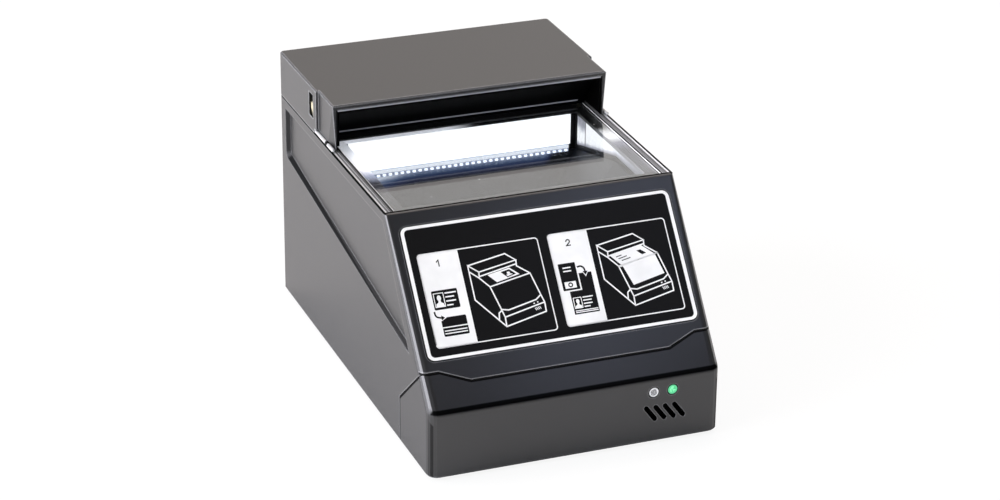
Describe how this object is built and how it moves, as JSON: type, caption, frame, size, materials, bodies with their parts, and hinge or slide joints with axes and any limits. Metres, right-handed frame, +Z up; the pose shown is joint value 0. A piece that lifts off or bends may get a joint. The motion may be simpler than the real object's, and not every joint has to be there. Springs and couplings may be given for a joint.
{
  "type": "passport reader",
  "caption": "Desktop passport and card reader: wedge-shaped housing with a sloped label, a glass bed lit from inside and a lift-off hood over its rear edge.",
  "frame": {"origin": "on the table, under the middle of the reader's bounding box", "axes": "+Z up, -Y out of the front face with the lamps, +X to the right of someone in front of it"},
  "size_m": [0.14, 0.215, 0.1274],
  "materials": {
    "anthracite_plastic": "fine leather grain, satin",
    "black_plastic": "matte",
    "black_rubber": "matte",
    "printed_film": "printed film, satin",
    "glass": "polished",
    "bright_steel": "bright",
    "grey_strip": "ribbed, satin",
    "ivory_nylon": "satin",
    "white_diffuser": "matte, lets light through",
    "green_board": "lacquered board",
    "clear_lamp": "clear",
    "green_lamp": "clear green"
  },
  "bodies": {
    "housing": {"upper_housing": "anthracite_plastic", "nose_cover": "anthracite_plastic", "base_plate": "black_plastic", "light_frame": "black_plastic", "light_funnel": "black_plastic", "camera_mount": "black_plastic", "camera_lens": "black_plastic", "power_socket": "black_plastic", "sounder": "black_plastic", "glass_gasket": "black_rubber", "front_left_foot": "black_rubber", "front_right_foot": "black_rubber", "rear_left_foot": "black_rubber", "rear_right_foot": "black_rubber", "label_plate": "printed_film", "glass_plate": "glass", "glass_frame": "bright_steel", "left_hood_pin": "bright_steel", "right_hood_pin": "bright_steel", "usb_socket": "bright_steel", "front_left_screw": "bright_steel", "front_right_screw": "bright_steel", "rear_left_screw": "bright_steel", "rear_right_screw": "bright_steel", "left_guide_strip": "grey_strip", "right_guide_strip": "grey_strip", "left_hood_catch": "ivory_nylon", "right_hood_catch": "ivory_nylon", "front_light_panel": "white_diffuser", "rear_light_panel": "white_diffuser", "left_light_panel": "white_diffuser", "right_light_panel": "white_diffuser", "front_led_board": "green_board", "rear_led_board": "green_board", "left_led_board": "green_board", "right_led_board": "green_board", "camera_board": "green_board", "main_board": "green_board", "indicator_board": "green_board", "white_lamp_lens": "clear_lamp", "green_lamp_lens": "green_lamp"},
    "hood": {"hood_shell": "anthracite_plastic", "hood_liner": "black_plastic"}
  },
  "joints": [
    {"name": "hood_lift", "type": "slide", "parent": "housing", "child": "hood", "axis": [0, 0, 1], "range_m": [0, 0.02]}
  ]
}
